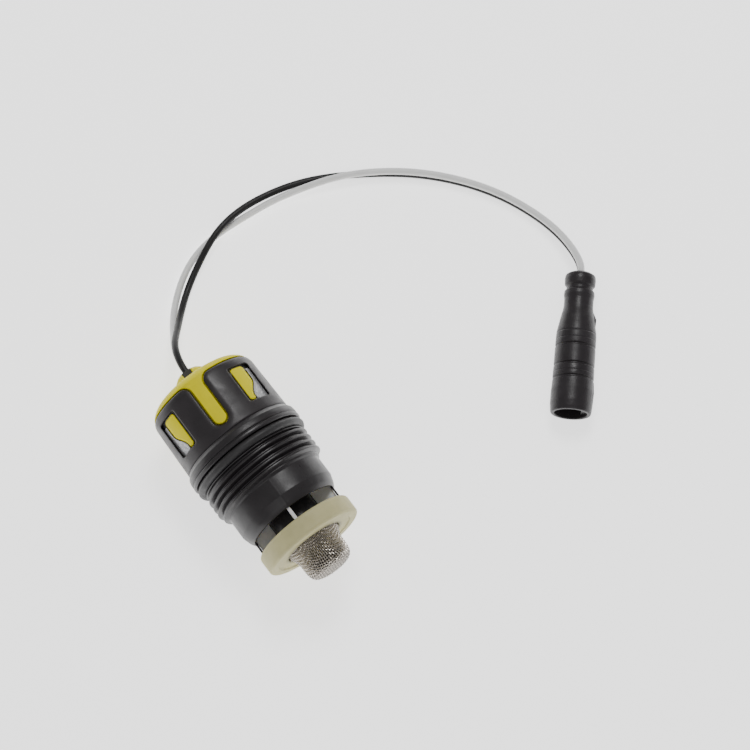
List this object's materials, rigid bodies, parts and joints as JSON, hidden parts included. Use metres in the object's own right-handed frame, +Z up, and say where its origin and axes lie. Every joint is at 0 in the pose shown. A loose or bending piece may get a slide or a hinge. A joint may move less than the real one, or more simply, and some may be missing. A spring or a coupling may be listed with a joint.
{
  "type": "cartridge solenoid valve",
  "caption": "Small cartridge solenoid valve with a threaded flanged body, inlet washer and mesh strainer, and a two-wire lead that ends in a round in-line plug.",
  "frame": {"origin": "on the supporting surface, under the middle of the valve's length, with the lead and its plug left out", "axes": "+X along the valve's axis from the coil's nose to the strainer, +Z up, and +Y towards the side where the lead lies"},
  "size_m": [0.099, 0.1173, 0.0319],
  "materials": {
    "cage_black": "fine moulded satin",
    "coil_yellow": "smooth overmoulding",
    "grommet_rubber": "matte",
    "yoke_steel": "plated sheet, fine brushed",
    "core_steel": "turned",
    "bobbin_plastic": "moulded",
    "winding_copper": "enamelled copper wire",
    "terminal_brass": "tinned where soldered",
    "tube_steel": "drawn stainless tube",
    "ring_aluminium": "turned",
    "seal_rubber": "smooth moulded rubber",
    "body_black": "glass-filled moulding, satin",
    "o_ring_rubber": "smooth, slightly greased",
    "piston_plastic": "moulded",
    "spring_steel": "drawn spring wire",
    "tube_black": "moulded satin",
    "vane_grey": "natural moulded plastic",
    "washer_rubber": "cream rubber, matte",
    "strainer_mesh": "fine woven stainless wire",
    "plug_black": "smooth moulded jacket",
    "insert_black": "moulded insulator",
    "contact_gold": "plated contact",
    "wire_black": "smooth wire insulation",
    "wire_white": "smooth wire insulation"
  },
  "bodies": {
    "body": {"cage_cap": "cage_black", "coil_housing": "coil_yellow", "wire_grommet": "grommet_rubber", "yoke": "yoke_steel", "flux_plate": "core_steel", "coil_bobbin": "bobbin_plastic", "coil_winding": "winding_copper", "coil_terminals": "terminal_brass", "fixed_core": "core_steel", "guide_tube": "tube_steel", "tube_retainer": "ring_aluminium", "tube_o_ring": "seal_rubber", "plunger_spring": "spring_steel", "valve_body": "body_black", "flange_o_ring": "o_ring_rubber", "piston_spring": "spring_steel", "inlet_tube": "tube_black", "outlet_vanes": "vane_grey", "inlet_washer": "washer_rubber", "strainer_ring": "ring_aluminium", "strainer": "strainer_mesh", "plug_shell": "plug_black", "plug_insert": "insert_black", "plug_contacts": "contact_gold", "wire_seal": "seal_rubber", "black_wire": "wire_black", "white_wire": "wire_white"},
    "plunger": {"plunger": "core_steel", "plunger_seal": "seal_rubber"},
    "piston": {"servo_piston": "piston_plastic", "piston_ring": "seal_rubber", "seat_disc": "seal_rubber"}
  },
  "joints": [
    {"name": "plunger_slide", "type": "slide", "parent": "body", "child": "plunger", "axis": [-1, 0, 0], "range_m": [0, 0.0026], "stiffness_N_per_m": 300, "springref_m": -0.003, "deforming": ["plunger_spring"]},
    {"name": "piston_slide", "type": "slide", "parent": "body", "child": "piston", "axis": [-1, 0, 0], "range_m": [0, 0.002], "deforming": ["piston_spring"]}
  ],
  "couplings": [
    {"joint": "piston_slide", "follows": "plunger_slide", "ratio": 0.7692}
  ]
}
